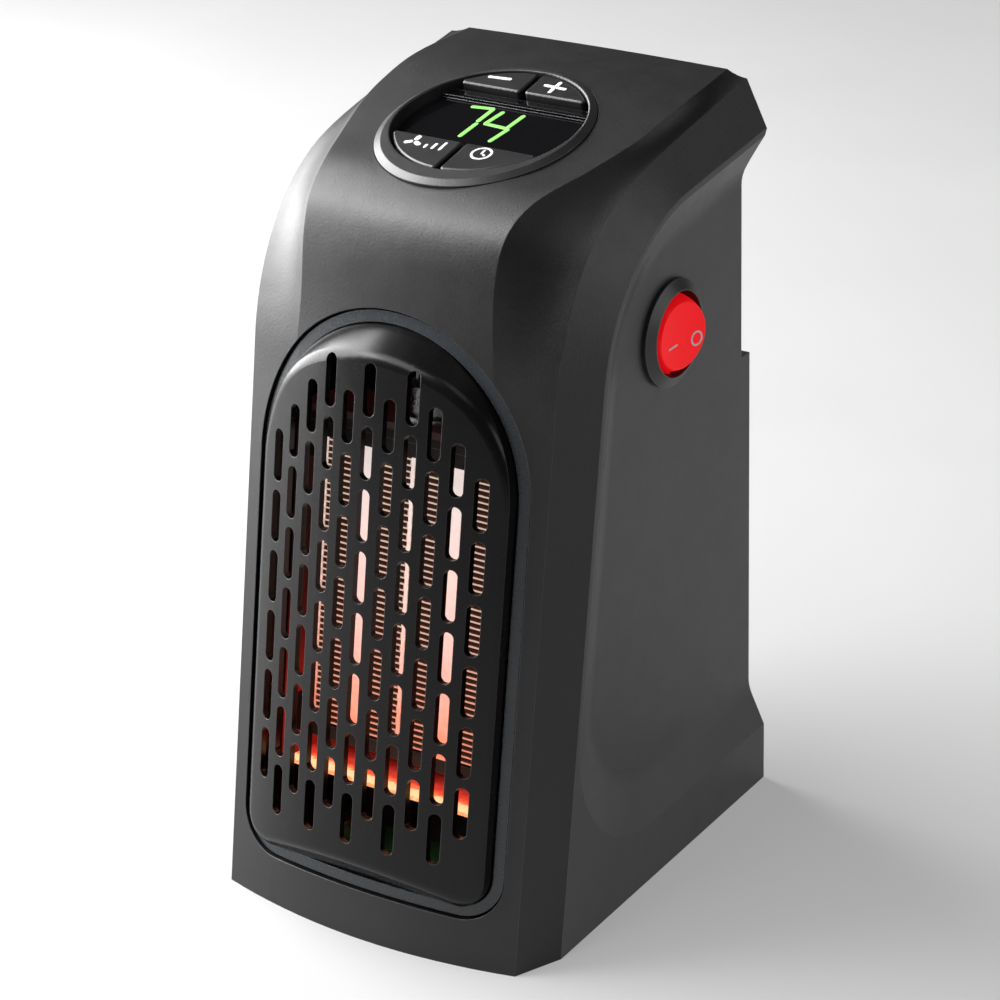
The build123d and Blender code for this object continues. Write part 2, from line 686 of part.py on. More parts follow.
# ---------------------------------------------------------------- fan
def make_fan_shroud():
    back = FAN_FRONT - FAN_DEPTH - FAN_GAP
    front = CORE_FRONT - CORE_DEPTH - 0.6
    inner = FAN_RADIUS + FAN_GAP
    outer = inner + SHROUD_WALL
    ring = rod_on(FACE, 0, FAN_U, outer, back, front - 1.6)
    plate = block_on(FACE, -outer, outer, FAN_U - 38.5, DUCT_TOP + DUCT_WALL, front - 1.6, front)
    body = ring + plate
    body -= rod_on(FACE, 0, FAN_U, inner, back - 1, front + 1)
    cup = rod_on(FACE, 0, FAN_U, MOTOR_RADIUS + 2, back - 5, back)
    for k in range(3):
        spoke = Rot(0, 0, 90 + 120 * k) * Pos((outer - 0.6) / 2, 0, back - 1.5) * Box(outer - 0.6, 4, 3)
        body += FACE.location * Pos(0, FAN_U, 0) * spoke
    band_ = rod_on(FACE, 0, FAN_U, outer, back - 3, back)
    band_ -= rod_on(FACE, 0, FAN_U, inner, back - 4, back + 1)
    body = body + band_ + cup
    body -= rod_on(FACE, 0, FAN_U, MOTOR_RADIUS + FIT, back - 6, back - 1.5)
    body -= rod_on(FACE, 0, FAN_U, SHAFT_RADIUS + 1.5, back - 6, back + 1)
    return solid_of(body)


MOTOR_FRONT = FAN_FRONT - FAN_DEPTH - FAN_GAP - 1.5


def make_fan_motor():
    body = rod_on(FACE, 0, FAN_U, MOTOR_RADIUS, MOTOR_FRONT - MOTOR_LENGTH, MOTOR_FRONT)
    boss = rod_on(FACE, 0, FAN_U, 2.2, MOTOR_FRONT, MOTOR_FRONT + 1.2)
    tail = rod_on(FACE, 0, FAN_U, 4.5, MOTOR_FRONT - MOTOR_LENGTH - 2, MOTOR_FRONT - MOTOR_LENGTH)
    body = body + boss + tail
    body -= rod_on(FACE, 0, FAN_U, SHAFT_RADIUS + 0.05, MOTOR_FRONT - 12, MOTOR_FRONT + 2)
    for s in (-1, 1):
        body += block_on(FACE, s * 8 - 1, s * 8 + 1, FAN_U - 0.3, FAN_U + 0.3,
                         MOTOR_FRONT - MOTOR_LENGTH - 4, MOTOR_FRONT - MOTOR_LENGTH)
    return solid_of(body)


def make_motor_shaft():
    return rod_on(FACE, 0, FAN_U, SHAFT_RADIUS, MOTOR_FRONT - 11.5, FAN_FRONT - 2)


def make_fan_impeller():
    back = FAN_FRONT - FAN_DEPTH
    hub = rod_on(FACE, 0, FAN_U, HUB_RADIUS, back, FAN_FRONT)
    hub -= rod_on(FACE, 0, FAN_U, HUB_RADIUS - 1.5, back - 1, FAN_FRONT - 2)
    core = rod_on(FACE, 0, FAN_U, 3.0, back, FAN_FRONT - 1)
    body = hub + core
    centre = FACE.location * Pos(0, FAN_U, (back + FAN_FRONT) / 2)
    root = HUB_RADIUS - 0.8
    sections = []
    for radius, pitch, chord in ((root, 52, 11.0), ((root + FAN_RADIUS) / 2, 38, 16.0), (FAN_RADIUS - 0.5, 27, 20.0)):
        plate = Plane(origin=(radius, 0, 0), x_dir=(0, 1, 0), z_dir=(1, 0, 0))
        sections.append(plate.location * Rot(0, 0, pitch) * Rectangle(chord, 1.3))
    blade = loft(sections)
    for k in range(BLADES):
        body += centre * Rot(0, 0, 360 * k / BLADES) * blade
    body -= rod_on(FACE, 0, FAN_U, SHAFT_RADIUS, back - 1, FAN_FRONT - 2)
    swept = rod_on(FACE, 0, FAN_U, FAN_RADIUS, back, FAN_FRONT)
    return solid_of(body & swept)


# ---------------------------------------------------------------- controls
def make_control_ring():
    well = Pos(0, WELL_V) * Circle(WELL_RADIUS)
    low = DECK.location * Pos(0, 0, RING_EDGE) * ring_outline(0.0)
    high = DECK.location * Pos(0, 0, RING_TOP) * ring_outline(-RING_SLOPE)
    body = prism(DECK, ring_outline(0.0), RING_FOOT, RING_EDGE) + loft([low, high], ruled=True)
    body -= prism(DECK, well, RING_FOOT - 1, RING_TOP + 1)
    flange = ring_outline(RING_LAP) - well
    body += prism(DECK, flange, RING_FOOT, RING_FOOT + 1.0)
    for x, v in BOARD_POSTS:
        body += rod_on(DECK, x, v, 1.9, BOARD_TOP, RING_FOOT + 0.5)
    for x, v in BOARD_POSTS:
        body -= rod_on(DECK, x, v, 0.8, BOARD_TOP - 1, RING_FOOT - 0.2)
    mouth = [e for e in body.edges() if DECK.to_local_coords(e @ 0.3).Z > RING_TOP - 0.01
             and abs((DECK.to_local_coords(e @ 0.3) - Vector(0, WELL_V, RING_TOP)).length - WELL_RADIUS) < 0.01]
    return solid_of(fillet(mouth, RING_ROUND))


BOARD_POSTS = [(-15.5, -17.0), (15.5, -17.0), (-15.5, 19.5), (15.5, 19.5)]
KEY_STEMS = {
    "minus_key": (-8.0, 18.0),
    "plus_key": (8.0, 18.0),
    "fan_speed_key": (-8.5, -12.0),
    "timer_key": (8.5, -12.0),
}


def make_key(name):
    """Key cap with its stem; the caps share one disc and are split on the middle."""
    x, v = KEY_STEMS[name]
    outline = key_disc(0.0)
    low, high = (UPPER_KEY_EDGE, 40.0) if v > 0 else (-40.0, LOWER_KEY_EDGE)
    depth = UPPER_KEY_DEPTH if v > 0 else LOWER_KEY_DEPTH
    left, right = (KEY_SPLIT / 2, 40.0) if x > 0 else (-40.0, -KEY_SPLIT / 2)
    outline = outline & band(low, high, left, right)
    outline = fillet(outline.vertices(), KEY_CORNER)
    cap = solid_of(prism(DECK, outline, -depth, 0))
    top = [e for e in cap.edges() if DECK.to_local_coords(e.center()).Z > -0.05]
    cap = chamfer(top, KEY_BEVEL)
    stem_foot = SWITCH_TOP + KEY_TRAVEL + 0.2
    stem = block_on(DECK, x - STEM / 2, x + STEM / 2, v - STEM / 2, v + STEM / 2, stem_foot, -depth)
    return solid_of(cap + stem)


SWITCH_TOP = BOARD_TOP + 3.6


def make_key_guide():
    """Plate in the ring that guides the key stems and carries the window."""
    plate = Pos(0, WELL_V) * Circle(WELL_RADIUS - FIT)
    body = prism(DECK, plate, RING_FOOT + 1.2, RING_FOOT + 2.2)
    for x, v in KEY_STEMS.values():
        half = STEM / 2 + FIT
        body -= block_on(DECK, x - half, x + half, v - half, v + half, RING_FOOT, 0)
    display = (DISPLAY_HALF + FIT, DISPLAY_LOW - FIT, DISPLAY_HIGH + FIT)
    body -= block_on(DECK, DISPLAY_X - display[0], DISPLAY_X + display[0], display[1], display[2],
                     RING_FOOT, 0)
    return solid_of(body)


DISPLAY_X = -3.0
DISPLAY_HALF = 9.5
DISPLAY_LOW = -4.5
DISPLAY_HIGH = 10.5


def make_display_window():
    """Dark lens between the upper and the lower keys, with its raised rear ledge."""
    plate = Pos(0, WELL_V) * Circle(WELL_RADIUS - FIT)
    back = UPPER_KEY_EDGE - WINDOW_GAP
    pane = plate & band(LOWER_KEY_EDGE - 1.5, back)
    body = prism(DECK, pane, WINDOW_TOP - WINDOW_THICK, WINDOW_TOP)
    ledge = plate & band(back - LEDGE, back)
    body += prism(DECK, ledge, WINDOW_TOP - 0.1, WINDOW_TOP + LEDGE_RISE)
    return solid_of(body)


def make_display_module():
    foot = BOARD_TOP
    return block_on(DECK, DISPLAY_X - DISPLAY_HALF, DISPLAY_X + DISPLAY_HALF, DISPLAY_LOW, DISPLAY_HIGH,
                    foot, WINDOW_TOP - WINDOW_THICK - 0.1)


def make_control_board():
    outline = Pos(0, 1.5) * RectangleRounded(38.0, 43.0, 5.0)
    body = prism(DECK, outline, BOARD_TOP - BOARD_THICK, BOARD_TOP)
    for x, v in BOARD_POSTS:
        body -= rod_on(DECK, x, v, 1.0, BOARD_TOP - 3, BOARD_TOP + 1)
    return solid_of(body)


def make_tact_switches():
    switches = []
    for x, v in KEY_STEMS.values():
        body = block_on(DECK, x - 3, x + 3, v - 3, v + 3, BOARD_TOP, SWITCH_TOP - 1.0)
        body += rod_on(DECK, x, v, 1.4, SWITCH_TOP - 1.5, SWITCH_TOP)
        switches.append(solid_of(body))
    return switches


def make_board_screws():
    screws = []
    for x, v in BOARD_POSTS:
        shank = rod_on(DECK, x, v, 0.75, BOARD_TOP - BOARD_THICK - 0.5, RING_FOOT - 0.6)
        head = rod_on(DECK, x, v, 1.7, BOARD_TOP - BOARD_THICK - 1.2, BOARD_TOP - BOARD_THICK)
        screws.append(solid_of(shank + head))
    return screws


# ---------------------------------------------------------------- power switch
PANEL_X = HALF_WIDTH - RECESS_DEPTH
SIDE = Plane(origin=(PANEL_X, SWITCH_Y, SWITCH_Z), x_dir=(0, 1, 0), z_dir=(1, 0, 0))
ROCKER_PIVOT = 1.0           # pivot, from the panel's face inward
ROCKER_TOP = 4.8             # face of the rocker above its pivot
ROCKER_FOOT = 4.0            # its underside below the pivot
WELL_DEPTH = 10.5
PIN_RADIUS = 0.8
PIN_CLEARANCE = 0.08
LAMP_RADIUS = 1.5


def make_switch_body():
    well = ROCKER_RADIUS + ROCKER_GAP
    slope = SIDE.location * Pos(0, 0, (SWITCH_RIM + SWITCH_PROUD) / 2)
    slope *= Cone(SWITCH_FLANGE - 0.1, well, SWITCH_PROUD - SWITCH_RIM)
    flange = rod_on(SIDE, 0, 0, SWITCH_FLANGE, 0, SWITCH_RIM) + slope
    body = flange + rod_on(SIDE, 0, 0, SWITCH_CUT, -SWITCH_BODY, 0.2)
    body -= rod_on(SIDE, 0, 0, well, -WELL_DEPTH, SWITCH_PROUD + 1)
    socket = Rot(90, 0, 0) * Cylinder(PIN_RADIUS + PIN_CLEARANCE, 2 * (well + 0.5))
    body -= SIDE.location * Pos(0, 0, -ROCKER_PIVOT) * socket
    return solid_of(body)


def make_rocker():
    """Round rocker, drawn in the state with its front half pressed in."""
    ball = Sphere(ROCKER_RADIUS)
    keep = Pos(0, 0, (ROCKER_TOP - ROCKER_FOOT) / 2) * Box(30, 30, ROCKER_TOP + ROCKER_FOOT)
    dish_radius = 60.0
    dish = Pos(0, 0, ROCKER_TOP + dish_radius - 0.5) * Rot(90, 0, 0) * Cylinder(dish_radius, 40)
    blank = (ball & keep) - dish
    blank += Rot(90, 0, 0) * Cylinder(PIN_RADIUS, 2 * (ROCKER_RADIUS + ROCKER_GAP + 0.3))
    return solid_of(SIDE.location * Pos(0, 0, -ROCKER_PIVOT) * Rot(0, -ROCKER_TILT, 0) * blank)


def make_switch_lamp():
    lift = LAMP_RADIUS - WELL_DEPTH
    tube = SIDE.location * Pos(0, 0, lift) * Rot(90, 0, 0) * Cylinder(LAMP_RADIUS, 9.0)
    return tube


def make_switch_terminals():
    blades = []
    for offset in (-5.0, 0.0, 5.0):
        blades.append(block_on(SIDE, offset - 0.4, offset + 0.4, -2.4, 2.4, -SWITCH_BODY - 7.5, -SWITCH_BODY))
    return blades


# ---------------------------------------------------------------- wall plug
PLUG_BACK = BACK_Y
CARRIER_FRONT = INNER_BACK - RUN - PLUG_PLATE


def make_plug_carrier():
    """Turning disc that carries the blades, held from inside by its rim."""
    body = boss_bar(0, PLUG_Z, PLUG_RADIUS, CARRIER_FRONT, PLUG_BACK)
    body += boss_bar(0, PLUG_Z, PLUG_RADIUS + PLUG_FLANGE, CARRIER_FRONT, INNER_BACK - RUN)
    outer_rim = [e for e in body.edges().filter_by(GeomType.CIRCLE) if e.center().Y > PLUG_BACK - 0.01]
    body = fillet(outer_rim, 0.6)
    for s in (-1, 1):
        grip = Pos(s * (PLUG_RADIUS - 5.5), PLUG_BACK, PLUG_Z) * Rot(90, 0, 0) \
            * extrude(SlotOverall(12.0, 3.4, rotation=90), 1.6, both=True)
        body -= grip
        body -= blade_block(s, FIT / 3, 0.0)
    return solid_of(body)


def blade_block(side, grow, tip):
    """One flat blade of the plug."""
    x = side * BLADE_SPACING / 2
    half = BLADE_THICK / 2 + grow
    tall = BLADE_HEIGHT / 2 + grow
    return block(x - half, x + half, CARRIER_FRONT - 6, PLUG_BACK + BLADE_OUT + tip,
                 PLUG_Z - tall, PLUG_Z + tall)


def make_plug_blades():
    blades = []
    for s in (-1, 1):
        blade = blade_block(s, 0.0, 0.0)
        tip = blade.edges().filter_by(Axis.X).sort_by(Axis.Y)[-2:]
        blade = chamfer(tip, 1.3)
        hole = Pos(s * BLADE_SPACING / 2, PLUG_BACK + BLADE_OUT - 4.2, PLUG_Z) * Rot(0, 90, 0) \
            * Cylinder(BLADE_HOLE, 5)
        collar = block(s * BLADE_SPACING / 2 - 1.8, s * BLADE_SPACING / 2 + 1.8,
                       CARRIER_FRONT - 1.2, CARRIER_FRONT, PLUG_Z - 4.5, PLUG_Z + 4.5)
        blades.append(solid_of(blade - hole + collar))
    return blades


def make_plug_retainer():
    """Ring fixed inside the back wall that holds the carrier and lets it turn."""
    outer = PLUG_RADIUS + PLUG_FLANGE + 3.0
    clear = PLUG_RADIUS + PLUG_FLANGE + RUN
    lip = PLUG_RADIUS - 3.0
    front = CARRIER_FRONT - RUN
    body = boss_bar(0, PLUG_Z, outer, front - 1.6, INNER_BACK)
    body -= boss_bar(0, PLUG_Z, clear, front, INNER_BACK + 1)
    body -= boss_bar(0, PLUG_Z, lip, front - 3, front + 1)
    return solid_of(body)


# ---------------------------------------------------------------- supply board
SUPPLY_TOP = SUPPLY_Z + SUPPLY_THICK
SUPPLY_POSTS = [(-21.0, -26.0), (21.0, -26.0), (-21.0, 32.0), (21.0, 32.0)]


def make_supply_board():
    board = block(-SUPPLY_HALF, SUPPLY_HALF, SUPPLY_FRONT, SUPPLY_BACK, SUPPLY_Z, SUPPLY_TOP)
    for x, y in SUPPLY_POSTS:
        board -= Pos(x, y, SUPPLY_Z) * Cylinder(1.4, 6)
    return solid_of(board)


def make_supply_relays():
    return [block(x - 7.7, x + 7.7, -22, -3, SUPPLY_TOP, SUPPLY_TOP + 14.5) for x in (-13.0, 7.0)]


def make_supply_parts():
    """Supply capacitor, choke and terminal strip."""
    capacitor = block(-20, -2, 4, 12, SUPPLY_TOP, SUPPLY_TOP + 13)
    choke = Pos(10, 9, SUPPLY_TOP + 5.5) * Cylinder(6.5, 11)
    strip = block(-16, 16, 19, 28, SUPPLY_TOP, SUPPLY_TOP + 9.5)
    for k in range(4):
        strip -= Pos(-12 + 8 * k, 23.5, SUPPLY_TOP + 9.5) * Cylinder(2.2, 6)
    return [capacitor, choke, solid_of(strip)]


def make_supply_screws():
    screws = []
    for x, y in SUPPLY_POSTS:
        shank = Pos(x, y, SUPPLY_TOP - 2.5) * Cylinder(1.2, 6)
        head = Pos(x, y, SUPPLY_TOP + 0.8) * Cylinder(2.4, 1.6)
        screws.append(solid_of(shank + head))
    return screws


def make_thermostat():
    """Bimetal cut-out on top of the duct."""
    top = DUCT_TOP + DUCT_WALL
    up = Plane(origin=FACE.from_local_coords((0, top, CORE_FRONT - 8)), x_dir=(1, 0, 0), z_dir=FACE.y_dir)
    can = rod_on(up, 0, 0, 8.0, 0, 1.5) + rod_on(up, 0, 0, 6.5, 1.5, 7.5)
    for s in (-1, 1):
        can += block_on(up, s * 4 - 0.4, s * 4 + 0.4, -2.4, 2.4, 7.0, 13.0)
    return solid_of(can)


def make_thermal_fuse():
    top = DUCT_TOP + DUCT_WALL
    up = Plane(origin=FACE.from_local_coords((17, top, CORE_FRONT - 8)), x_dir=(1, 0, 0), z_dir=FACE.y_dir)
    body = up.location * Pos(0, 0, 2.0) * Rot(90, 0, 0) * Cylinder(2.0, 10)
    leads = up.location * Pos(0, 0, 2.0) * Rot(90, 0, 0) * Cylinder(0.5, 16)
    return solid_of(body + leads)


# ---------------------------------------------------------------- the assembly
def all_parts():
    parts = {
        "front_cover": make_front_cover(),
        "rear_housing": make_rear_housing(),
        "housing_screws": make_housing_screws(),
        "grille_trim": make_grille_trim(),
        "outlet_grille": make_outlet_grille(),
        "ptc_bars": make_ptc_bars(),
        "heater_plates": make_heater_plates(),
        "heater_fins": make_heater_fins(),
        "lower_end_frame": make_end_frame(CORE_FOOT - END_FRAME),
        "upper_end_frame": make_end_frame(CORE_TOP),
        "heat_duct": make_heat_duct(),
        "heat_shield": make_duct_cap(),
        "air_deflector": make_deflector(),
        "thermostat": make_thermostat(),
        "thermal_fuse": make_thermal_fuse(),
        "fan_shroud": make_fan_shroud(),
        "fan_motor": make_fan_motor(),
        "motor_shaft": make_motor_shaft(),
        "fan_impeller": make_fan_impeller(),
        "control_ring": make_control_ring(),
        "key_guide": make_key_guide(),
        "display_window": make_display_window(),
        "display_module": make_display_module(),
        "control_board": make_control_board(),
        "tact_switches": make_tact_switches(),
        "board_screws": make_board_screws(),
        "switch_body": make_switch_body(),
        "switch_rocker": make_rocker(),
        "switch_lamp": make_switch_lamp(),
        "switch_terminals": make_switch_terminals(),
        "plug_carrier": make_plug_carrier(),
        "plug_blades": make_plug_blades(),
        "plug_retainer": make_plug_retainer(),
        "supply_board": make_supply_board(),
        "supply_relays": make_supply_relays(),
        "supply_parts": make_supply_parts(),
        "supply_screws": make_supply_screws(),
    }
    for name in KEY_STEMS:
        parts[name] = make_key(name)
    return parts


def main():
    os.makedirs("parts", exist_ok=True)
    for name, shape in all_parts().items():
        solids = shape if isinstance(shape, list) else [shape]
        group = Compound(children=[solid_of(solid) for solid in solids])
        export_step(group, f"parts/{name}.step")


main()
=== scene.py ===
import json
import math

import bmesh
import bpy
from mathutils import Matrix, Vector
from mathutils.bvhtree import BVHTree


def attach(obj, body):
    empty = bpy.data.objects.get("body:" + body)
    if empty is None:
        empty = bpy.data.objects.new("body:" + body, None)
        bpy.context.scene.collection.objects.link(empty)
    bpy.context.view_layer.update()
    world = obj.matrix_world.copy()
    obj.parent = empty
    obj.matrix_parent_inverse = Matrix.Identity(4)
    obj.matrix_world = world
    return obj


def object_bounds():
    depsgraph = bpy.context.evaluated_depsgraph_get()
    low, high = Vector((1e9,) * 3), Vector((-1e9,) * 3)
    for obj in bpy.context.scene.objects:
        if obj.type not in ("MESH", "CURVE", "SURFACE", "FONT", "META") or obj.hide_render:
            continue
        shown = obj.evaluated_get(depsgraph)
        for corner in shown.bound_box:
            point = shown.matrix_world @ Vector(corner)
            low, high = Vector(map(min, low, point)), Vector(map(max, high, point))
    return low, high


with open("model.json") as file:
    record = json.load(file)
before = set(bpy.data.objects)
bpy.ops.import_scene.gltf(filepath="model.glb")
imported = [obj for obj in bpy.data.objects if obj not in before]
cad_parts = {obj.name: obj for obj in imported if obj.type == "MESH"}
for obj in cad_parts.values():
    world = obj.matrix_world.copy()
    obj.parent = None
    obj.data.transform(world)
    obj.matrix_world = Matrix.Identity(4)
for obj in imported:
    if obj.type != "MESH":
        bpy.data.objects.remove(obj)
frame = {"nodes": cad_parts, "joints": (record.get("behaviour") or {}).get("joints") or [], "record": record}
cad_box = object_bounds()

NODES = frame["nodes"]
JOINTS = {joint["name"]: joint for joint in frame["joints"]}
MM = 0.001


# ------------------------------------------------------------------ local frames
class Local:
    """Axes on a sloping surface: x to the right, v up along it and w out of it."""

    def __init__(self, out):
        self.w = Vector(out).normalized()
        self.x = Vector((1.0, 0.0, 0.0))
        self.v = self.w.cross(self.x)

    def point(self, x, v, w):
        return self.x * x + self.v * v + self.w * w

    def span(self, node):
        """Lowest and highest corner of a CAD node along these axes."""
        points = [vertex.co for vertex in NODES[node].data.vertices]
        rows = [[p.dot(axis) for p in points] for axis in (self.x, self.v, self.w)]
        return Vector(map(min, rows)), Vector(map(max, rows))


DECK = Local([-a for a in JOINTS["minus_key_press"]["axis"]])
FACE = Local(JOINTS["fan_spin"]["axis"])


# ------------------------------------------------------------------ materials
MIX_UNDER, MIX_ABOVE, MIX_RESULT = 6, 7, 2      # colour sockets of the Mix node
EDGE_STARTS, EDGE_FULL = 0.995, 0.86            # match of the rounded and the true normal
LOW, HIGH = 0.3, 0.7                            # where most of a noise lies


class Finish:
    """A Principled material whose colour, roughness and relief vary over the surface."""

    def __init__(self, name, **sockets):
        self.material = bpy.data.materials.new(name)
        self.material.use_nodes = True
        self.tree = self.material.node_tree
        self.shader = self.tree.nodes["Principled BSDF"]
        for socket, value in sockets.items():
            self.shader.inputs[socket.replace("_", " ")].default_value = value
        self.place = self.node("ShaderNodeTexCoord").outputs["Object"]

    def node(self, kind, inputs=None, **settings):
        made = self.tree.nodes.new(kind)
        for key, value in settings.items():
            setattr(made, key, value)
        for key, value in (inputs or {}).items():
            if isinstance(value, bpy.types.NodeSocket):
                self.tree.links.new(value, made.inputs[key])
            else:
                made.inputs[key].default_value = value
        return made

    def noise(self, scale, detail, rough=0.5):
        made = self.node("ShaderNodeTexNoise", {"Vector": self.place, "Scale": scale, "Detail": detail,
                         "Roughness": rough})
        return made.outputs["Fac"]

    def spread(self, source, low, high, to_low=0.0, to_high=1.0):
        made = self.node("ShaderNodeMapRange", {"Value": source, "From Min": low, "From Max": high,
                         "To Min": to_low, "To Max": to_high})
        return made.outputs["Result"]

    def math(self, operation, a, b):
        return self.node("ShaderNodeMath", {0: a, 1: b}, operation=operation).outputs[0]

    def along(self, axis):
        """Place of a point along an axis of the object."""
        made = self.node("ShaderNodeVectorMath", {0: self.place, 1: tuple(axis)}, operation="DOT_PRODUCT")
        return made.outputs["Value"]

    def ramp(self, source, stops):
        made = self.node("ShaderNodeValToRGB", {"Fac": source})
        elements = made.color_ramp.elements
        while len(elements) < len(stops):
            elements.new(0.5)
        for element, (place, colour) in zip(elements, stops):
            element.position = place
            element.color = (*colour, 1.0)
        return made.outputs["Color"]

    def over(self, share, under, above):
        """One colour laid over another by its share; a colour is three numbers or an output."""
        made = self.node("ShaderNodeMix", {0: share}, data_type="RGBA")
        for socket, colour in ((MIX_UNDER, under), (MIX_ABOVE, above)):
            if isinstance(colour, tuple):
                made.inputs[socket].default_value = (*colour, 1.0)
            else:
                self.tree.links.new(colour, made.inputs[socket])
        return made.outputs[MIX_RESULT]

    def give(self, socket, output):
        self.tree.links.new(output, self.shader.inputs[socket])

    def rounded(self, radius):
        """Normal rounded over the edges, and a mask that is 1 on them."""
        soft = self.node("ShaderNodeBevel", {"Radius": radius}, samples=6).outputs["Normal"]
        flat = self.node("ShaderNodeNewGeometry").outputs["Normal"]
        match = self.node("ShaderNodeVectorMath", {0: soft, 1: flat}, operation="DOT_PRODUCT")
        return soft, self.spread(match.outputs["Value"], EDGE_STARTS, EDGE_FULL)

    def relief(self, height, depth, normal=None):
        inputs = {"Height": height, "Distance": depth, "Strength": 1.0}
        if normal is not None:
            inputs["Normal"] = normal
        return self.node("ShaderNodeBump", inputs).outputs["Normal"]


def mix(a, b, t):
    return tuple(x + (y - x) * t for x, y in zip(a, b))


def moulded(name, dark, light, rough, grain, depth, edge=0.0003, edge_wear_and_highlight=None, **sockets):
    """Moulded plastic or metal: mottled tone, grained relief, edges rounded, rubbed and lightened as a
    painted highlight.
    """
    skin = Finish(name, **sockets)
    broad = skin.noise(34.0, 5.0, 0.62)
    fine = skin.noise(grain, 3.0, 0.6)
    patch = skin.noise(150.0, 4.0, 0.7)
    mottle = skin.math("ADD", skin.math("MULTIPLY", broad, 0.55), skin.math("MULTIPLY", fine, 0.45))
    tone = skin.ramp(mottle, [(LOW, dark), (HIGH, light)])
    normal, rim = skin.rounded(edge)
    # edges are lightened towards the edge colour: partly real rubbed wear, partly a painted highlight where
    # the edges catch the light
    rubbed_and_highlit = skin.math("MULTIPLY", rim, skin.spread(patch, 0.25, HIGH, 0.35, 1.0))
    skin.give("Base Color", skin.over(rubbed_and_highlit, tone, edge_wear_and_highlight or mix(light, (0.5, 0.5, 0.52), 0.2)))
    spots = skin.math("ADD", skin.math("MULTIPLY", patch, 0.6), skin.math("MULTIPLY", fine, 0.4))
    skin.give("Roughness", skin.spread(spots, LOW, HIGH, *rough))
    skin.give("Normal", skin.relief(fine, depth, normal))
    return skin


def painted_glow(name, axis, reach, stops, strength, base, front=None, skin_depth=0.0):
    """Metal with a painted glow, though no lamp is in it: the glow colour changes along one axis and is
    patchy.

    With a front, only the skin nearest to the outlet gets the painted glow, and the faces behind it get a
    painted shade.
    """
    skin = Finish(name, Emission_Strength=strength, Metallic=0.1)
    patch = skin.noise(700.0, 5.0, 0.7)
    place = skin.spread(skin.along(axis), *reach)
    uneven = skin.math("ADD", place, skin.spread(patch, LOW, HIGH, -0.07, 0.07))
    glow = skin.ramp(uneven, stops)
    if front is not None:
        ragged = skin.math("ADD", skin.along(FACE.w), skin.spread(patch, LOW, HIGH, -0.0002, 0.0002))
        painted_glow_share = skin.spread(ragged, front - 1.6 * skin_depth, front - skin_depth)
        coolest = stops[0][1]
        # faces behind the front get a painted shade: the coolest glow colour dimmed to 3 per cent
        glow = skin.over(painted_glow_share, tuple(0.03 * c for c in coolest), glow)
    skin.give("Emission Color", glow)
    skin.give("Base Color", skin.ramp(patch, [(LOW, base), (HIGH, mix(base, (0.5, 0.4, 0.4), 0.2))]))
    skin.give("Roughness", skin.spread(patch, LOW, HIGH, 0.35, 0.6))
    skin.give("Normal", skin.relief(patch, 0.00008))
    return skin


# shells and controls: dark tone, light tone, roughness, grain per metre, relief
CHARCOAL = moulded("cover_plastic", (0.006, 0.006, 0.0065), (0.012, 0.012, 0.013), (0.36, 0.46),
                   2000.0, 0.00004, Specular_IOR_Level=0.42)
HOUSING = moulded("housing_plastic", (0.026, 0.026, 0.027), (0.036, 0.036, 0.0375), (0.40, 0.50),
                  2200.0, 0.000022)
TRIM = moulded("trim_plastic", (0.016, 0.020, 0.024), (0.026, 0.031, 0.036), (0.22, 0.32), 3000.0, 0.000006,
               edge_wear_and_highlight=(0.16, 0.17, 0.18))
GRILLE = moulded("grille_plastic", (0.0025, 0.0023, 0.0023), (0.006, 0.0055, 0.0055), (0.20, 0.30),
                 2600.0, 0.000008, edge=0.0002, edge_wear_and_highlight=(0.10, 0.085, 0.078), Specular_IOR_Level=0.24)
RING = moulded("ring_plastic", (0.010, 0.010, 0.0105), (0.022, 0.022, 0.023), (0.30, 0.42), 1900.0, 0.00004,
               edge_wear_and_highlight=(0.12, 0.12, 0.125))
KEY = moulded("key_plastic", (0.006, 0.006, 0.0065), (0.014, 0.014, 0.015), (0.26, 0.38), 1900.0, 0.00004,
              edge_wear_and_highlight=(0.16, 0.16, 0.165))
LENS = moulded("lens", (0.0015, 0.0015, 0.002), (0.003, 0.003, 0.0035), (0.04, 0.08), 900.0, 0.000001)
ROCKER = moulded("rocker_red", (0.60, 0.004, 0.008), (0.84, 0.008, 0.014), (0.18, 0.28), 1500.0, 0.000008,
                 edge_wear_and_highlight=(0.9, 0.02, 0.02), Emission_Color=(1.0, 0.006, 0.010, 1.0), Emission_Strength=0.42,
                 Specular_IOR_Level=0.15)
SWITCH = moulded("switch_plastic", (0.014, 0.014, 0.015), (0.024, 0.024, 0.025), (0.34, 0.44),
                 2600.0, 0.00001)
INNER = moulded("inner_plastic", (0.010, 0.010, 0.011), (0.018, 0.018, 0.019), (0.40, 0.55), 1500.0, 0.00002)
STEEL = moulded("steel", (0.42, 0.42, 0.44), (0.58, 0.58, 0.60), (0.22, 0.38), 1200.0, 0.000004, Metallic=1.0)
MOTOR = moulded("motor_steel", (0.36, 0.36, 0.37), (0.48, 0.48, 0.49), (0.3, 0.45), 700.0, 0.000006,
                Metallic=1.0)
BRASS = moulded("brass", (0.62, 0.46, 0.22), (0.76, 0.60, 0.32), (0.22, 0.36), 1100.0, 0.000004, Metallic=1.0)
NICKEL = moulded("nickel", (0.62, 0.60, 0.55), (0.76, 0.74, 0.69), (0.12, 0.24), 1600.0, 0.000003,
                 Metallic=1.0)
BOARD = moulded("circuit_board", (0.008, 0.07, 0.028), (0.016, 0.13, 0.05), (0.25, 0.4), 600.0, 0.00002)
COMPONENT = moulded("component", (0.014, 0.014, 0.016), (0.026, 0.026, 0.03), (0.3, 0.42), 900.0, 0.00001)
